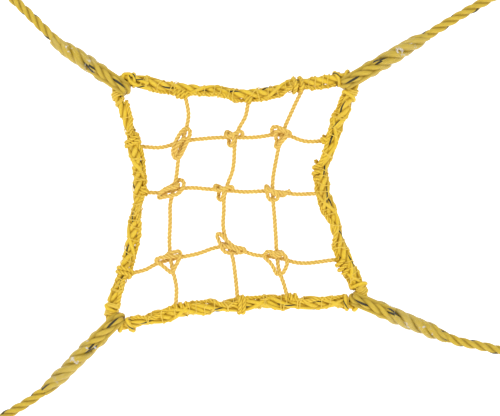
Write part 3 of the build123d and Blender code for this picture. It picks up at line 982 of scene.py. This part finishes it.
def makeKnot(cross, upright):
    middle = crossing(cross, upright)
    store = newStore()
    for turn, loop in enumerate(knotLoops[cross, upright]):
        points = [middle + np.array([x, y, z]) * mm for x, z, y in loop]
        layRope(store, readRoute(points, closed=True), "cord", closed=True, seed=cross * 3 + upright + turn)
    if (cross, upright) in knotTails:
        points = [middle + np.array([x, y, z]) * mm for x, z, y in knotTails[cross, upright]]
        layRope(store, readRoute(points), "cord", seed=cross + upright)
    return finishPiece(store, f"knot.{cross}.{upright}", cordPair, "net")


lines = {}
for kind, routes, y in (("upright", uprightRoutes, -bundle["stagger"]), ("cross", crossRoutes, bundle["stagger"])):
    for number, route in enumerate(routes, 1):
        levels = [route[0], route[-1]]
        points = flat(route)
        for end, side in enumerate(cordEnds[kind]):
            level = levels[end][0 if side in ("top", "bottom") else 1]
            distance = nearestDistance(side, level)
            f = frames[side]
            at = int(distance / mm)
            spot = f["line"][at] + f["inward"][at] * bundle["hitchReach"]
            points[-end] = tuple(spot)
        points = [(px, y, pz) for px, _, pz in points]
        lines[kind, number] = readRoute(points)

for (kind, number), line in lines.items():
    store = newStore()
    cordLine, length = layRope(store, line, "cord", seed=number)
    cord = finishPiece(store, f"meshCord.{kind}.{number}", cordPair, "net", [f"mesh_cord_{kind}_{number}"])
    route = (uprightRoutes if kind == "upright" else crossRoutes)[number - 1]
    extras = []
    for end, side in enumerate(cordEnds[kind]):
        level = route[-end][0 if side in ("top", "bottom") else 1]
        extras.append(makeHitch(kind, number, end, level))
    if kind == "upright":
        extras += [makeKnot(cross, number) for cross in (1, 2, 3)]
print("mesh cords are tied")


# collars of stout twine beside each corner, and strands of the rope tucked round it
collar = {"setback": 31 * mm, "turns": 3.0, "pitch": 5.4 * mm, "radius": 2.6 * mm}
cornerStrand = {"radius": 4.8 * mm, "places": (21 * mm, 45 * mm), "tilt": 5 * mm}
# cut strands that stand out of the top side by one corner, as x, z, y
cornerTails = {
    "top_left": [[(-252, 309, -13), (-276, 318, -14), (-292, 331, -12), (-308, 336, -8), (-318, 330, -6)],
                 [(-246, 296, -14), (-270, 300, -16), (-292, 309, -17), (-304, 321, -14), (-300, 333, -8)]],
}


def makeCorner(corner):
    collars = newStore()
    strands = newStore()
    for side in sides:
        if corner not in sideEnds[side]:
            continue
        f = frames[side]
        atStart = sideEnds[side][0] == corner

        def fromCorner(distance):
            return distance if atStart else f["length"] - distance

        if side in ("left", "right"):
            points = wrapPoints(side, fromCorner(collar["setback"]) - collar["pitch"], collar["radius"] - 0.4 * mm,
                                collar["turns"], collar["pitch"], 5 * mm, 1.0, 0.4)
            layTwine(collars, points, radius=collar["radius"])
        places = cornerStrand["places"] if side in ("top", "bottom") else cornerStrand["places"][1:]
        if (side, corner) in tucked["bare"]:
            places = ()
        for count, place in enumerate(places):
            way = 1 if count else -1
            ring = wrapPoints(side, fromCorner(place), cornerStrand["radius"] - 2.2 * mm, 1.0, 0.0,
                              way * cornerStrand["tilt"], 0.7, 0.2)
            line, along, _ = evenly(readRoute(ring[::5], closed=True), 3 * mm, closed=True)
            _, normal, _ = framesAlong(line, True, (0, -1, 0))
            addTube(strands, line, normal, cornerStrand["radius"], 16, along, along / (50 * mm), count, True, 0.9)
    for route in cornerTails.get(corner, ()):
        line, along, _ = evenly(readRoute([np.array([x, y, z]) * mm for x, z, y in route]), 3 * mm)
        _, normal, _ = framesAlong(line, False, (0, -1, 0))
        addTube(strands, line, normal, cornerStrand["radius"], 16, along, along / (50 * mm), 1, False, 0.9)
    finishPiece(collars, "cornerCollars." + corner, twineOnly, "net", [f"corner_seizing_{corner}"])
    finishPiece(strands, "cornerStrands." + corner, borderPair, "net")


for corner in corners:
    makeCorner(corner)
print("corners are bound")


# legs: eye round the border, splice, single rope, outer eye with its thimble
legSizes = {
    "throat": 24 * mm, "taper": 26 * mm, "spliceRadius": 20 * mm, "sleeveStart": 62 * mm, "sleeveBare": 14 * mm,
    "outerSplice": 72 * mm, "seizingPlace": 56 * mm, "seizingTurns": 7, "pitch": 136 * mm,
    "spliceStrands": 4, "eyeStrandSide": 12 * mm, "eyeStrandRadius": 5.5 * mm,
}
# each eye's rope as (away from the hinge, across) in mm
eyePoints = [(80, -7), (48, -13), (22, -24), (-8, -27.5), (-28, -15), (-28, 15), (-8, 27.5), (22, 24), (48, 13),
             (80, 7)]
outerEyePoints = [(66, -7), (42, -18), (18, -30), (-12, -33), (-33, -17), (-33, 17), (-12, 33), (18, 30), (42, 18),
                  (66, 7)]


# shares of the splice's own radius, and how unevenly its strands lie
fatLay = {"strand": 0.44, "swell": 0.09, "reach": 0.56, "reachWave": 0.05, "drift": 0.22, "step": 2.2 * mm,
          "sides": 18}


def layFat(store, line, radiusAt, pitch, seed=0):
    # a long splice: strands tucked in beside the rope's own, which lie together as one fat lay
    line, along, _ = evenly(line, fatLay["step"])
    _, normal, binormal = framesAlong(line, False, (0, 1, 0))
    radius = radiusAt(along)
    count = legSizes["spliceStrands"]
    for strand in range(count):
        angle = along / pitch * 2 * np.pi + seed + strand * 2 * np.pi / count
        angle = angle + fatLay["drift"] * np.sin(along * 47 + strand * 2.4)
        outward = normal * np.cos(angle)[:, None] + binormal * np.sin(angle)[:, None]
        swell = 1 + fatLay["swell"] * np.sin(along * 90 + strand * 2)
        reach = radius * (fatLay["reach"] + fatLay["reachWave"] * np.sin(along * 63 + strand * 3.1))
        thickness = radius * fatLay["strand"] * swell
        addTube(store, line + outward * reach[:, None], outward, thickness, fatLay["sides"], along,
                along / pitch * 1.6 + strand * 0.37, 1 if strand == 0 else 0, False)


def makeLeg(corner):
    leg = legRoutes[corner]
    body = "leg_" + corner
    joint = hinges[corner]
    hinge = np.array(joint["pos_m"], float)
    axis = np.array(joint["axis"], float)
    away = np.cross(axis, (0, 1, 0))
    if np.dot(away, hinge) < 0:
        away = -away
    y = np.array([0, 1.0, 0])
    spliceEnd = leg["splice"] * mm
    outer = place2(leg["outer"])
    incoming = unit(place2(leg["points"][-1]) - outer)
    turned = np.cross(incoming, y)

    store = newStore()
    eye = readRoute([hinge + (a * away + b * y) * mm for a, b in eyePoints])
    layRope(store, eye, "rope", hint=tuple(away), seed=2)
    for way in (-1, 1):
        # strands left over from the splice, wound beside the eye's own rope
        line, along, _ = evenly(eye + axis * way * legSizes["eyeStrandSide"], 3 * mm)
        outward = np.tile(axis * way, (len(line), 1))
        addTube(store, line, outward, legSizes["eyeStrandRadius"], 14, along, along / (60 * mm), 0, False, 0.9)
    finishPiece(store, "legEye." + corner, legPair, body)

    def spliceRadius(along):
        # swells from the two legs of the eye and thins down to the single rope
        full = legSizes["spliceRadius"]
        grow = np.clip(along / legSizes["taper"], 0, 1)
        thin = np.clip((along[-1] - along) / (1.6 * legSizes["taper"]), 0, 1)
        return full * (0.90 + 0.10 * grow) * (0.62 + 0.38 * thin)

    store = newStore()
    spliceLine = np.array([hinge + away * legSizes["throat"], hinge + away * spliceEnd])
    layFat(store, spliceLine, spliceRadius, legSizes["pitch"], seed=0.4)
    splice = finishPiece(store, "longSplice." + corner, filmedPair, body)

    store = newStore()
    first = hinge + away * (legSizes["throat"] + legSizes["taper"])
    last = outer + incoming * (legSizes["outerSplice"] - legSizes["taper"])
    points = [first, hinge + away * (spliceEnd - legSizes["taper"]), *[place2(p) for p in leg["points"]], last]
    ropeLine, length = layRope(store, readRoute(points), "rope", hint=(0, -1, 0), seed=3)
    rope = finishPiece(store, "legRope." + corner, legPair, body, [f"leg_rope_{corner}"])

    store = newStore()
    outerEye = readRoute([outer + (a * incoming + b * turned) * mm for a, b in outerEyePoints])
    layRope(store, outerEye, "rope", hint=(0, 1, 0), seed=4)
    outerEyePiece = finishPiece(store, "outerEye." + corner, legPair, body)

    store = newStore()
    outerLine = np.array([outer + incoming * 44 * mm, outer + incoming * legSizes["outerSplice"]])
    layFat(store, outerLine, lambda along: legSizes["spliceRadius"]
               * (0.68 + 0.32 * np.clip((along[-1] - along) / legSizes["taper"] * 1.5, 0, 1)), legSizes["pitch"])
    outerSplice = finishPiece(store, "outerSplice." + corner, legPair, body)

    store = newStore()
    turns = legSizes["seizingTurns"]
    angle = np.linspace(0, 2 * np.pi * turns, 40 * turns)
    spread = (angle / (2 * np.pi) - turns / 2) * 2.9 * mm + legSizes["seizingPlace"]
    round_ = legSizes["spliceRadius"] + 1.6 * mm
    seizing = (outer + incoming * spread[:, None] + turned * (round_ * np.cos(angle))[:, None]
               + y * (round_ * np.sin(angle))[:, None])
    layTwine(store, seizing)
    seizingPiece = finishPiece(store, "eyeSeizing." + corner, twineOnly, body, [f"eye_seizing_{corner}"])

    filmPiece = makeFilm(corner, hinge, away, spliceEnd - legSizes["taper"] - legSizes["sleeveBare"], body)
    thimble = frame["nodes"][f"anchor_thimble_{corner}"]
    thimble.data.materials.clear()
    thimble.data.materials.append(steel)


filmWrap = {"rings": 90, "around": 64, "gap": 0.9 * mm, "creases": 0.9 * mm, "tuck": 1.4 * mm, "tuckShare": 0.02,
            "overlap": 4 * mm}


def makeFilm(corner, hinge, away, end, body):
    # clear wrap pulled tight over the splice, creased along and across
    rng = np.random.default_rng(len(corner))
    start = legSizes["sleeveStart"] - filmWrap["overlap"]
    rings, around = filmWrap["rings"], filmWrap["around"]
    y = np.array([0, 1.0, 0])
    side = np.cross(away, y)
    phase = rng.uniform(0, 6, 8)
    points = []
    for i in range(rings):
        t = i / (rings - 1)
        place = start + (end - start) * t
        angle = np.arange(around) / around * 2 * np.pi
        crease = (0.25 * np.sin(5 * angle + 9 * t + phase[0]) + 0.18 * np.sin(9 * angle - 17 * t + phase[1])
                  + 0.22 * np.sin(34 * t + 2 * angle + phase[2]) + 0.15 * np.sin(71 * t - angle + phase[3]))
        tuck = filmWrap["tuck"] * (np.exp(-t / filmWrap["tuckShare"]) + np.exp(-(1 - t) / filmWrap["tuckShare"]))
        radius = legSizes["spliceRadius"] + filmWrap["gap"] + crease * filmWrap["creases"] - tuck
        ring = side[None] * np.cos(angle)[:, None] + y[None] * np.sin(angle)[:, None]
        points.append(hinge + away * place + ring * radius[:, None])
    points = np.array(points)
    index = np.arange(rings * around).reshape(rings, around)
    quads = np.stack([index[:-1], np.roll(index[:-1], -1, axis=1), np.roll(index[1:], -1, axis=1), index[1:]],
                     axis=-1).reshape(-1, 4)
    mesh = bpy.data.meshes.new("film." + corner)
    mesh.from_pydata(points.reshape(-1, 3).tolist(), [], quads.tolist())
    mesh.polygons.foreach_set("use_smooth", np.ones(len(quads), bool))
    mesh.materials.append(film)
    piece = bpy.data.objects.new("clearFilm." + corner, mesh)
    scene.collection.objects.link(piece)
    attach(piece, body)
    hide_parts(f"splice_sleeve_{corner}")
    return piece


for corner in corners:
    makeLeg(corner)
print("legs are spliced")


# a pale floor that runs up behind into a plain wall

def makeStudioSweep():
    low = cadBox[0][2] - studio["floorGap"]
    deep = studio["floorSize"]
    profile = [(-deep * 1.5, low), (deep * 0.6, low)]
    bend, steps = studio["wallBend"], studio["wallSteps"]
    for i in range(1, steps + 1):
        turn = i / steps * math.pi / 2
        profile.append((deep * 0.6 + bend * math.sin(turn), low + bend * (1 - math.cos(turn))))
    profile.append((deep * 0.6 + bend, low + deep * 1.6))
    wide = deep * 2
    points = []
    for y, z in profile:
        points += [(-wide, y, z), (wide, y, z)]
    faces = [(2 * i, 2 * i + 1, 2 * i + 3, 2 * i + 2) for i in range(len(profile) - 1)]
    mesh = bpy.data.meshes.new("studioSweep")
    mesh.from_pydata(points, [], faces)
    mesh.polygons.foreach_set("use_smooth", np.ones(len(faces), bool))
    material, tree, shader = newMaterial("studioPaper")
    shader.inputs["Base Color"].default_value = (0.96, 0.96, 0.96, 1)
    shader.inputs["Roughness"].default_value = 0.9
    shader.inputs["Emission Color"].default_value = (1, 1, 1, 1)
    shader.inputs["Emission Strength"].default_value = 0.35
    # seen from behind, the paper lets the view through
    facing = addNode(tree, "ShaderNodeNewGeometry", (-500, 0))
    shown = math2(tree, "SUBTRACT", 1.0, facing.outputs["Backfacing"], (-300, 0))
    tree.links.new(shown, shader.inputs["Alpha"])
    mesh.materials.append(material)
    sweep = bpy.data.objects.new("studioSweep", mesh)
    scene.collection.objects.link(sweep)


makeStudioSweep()
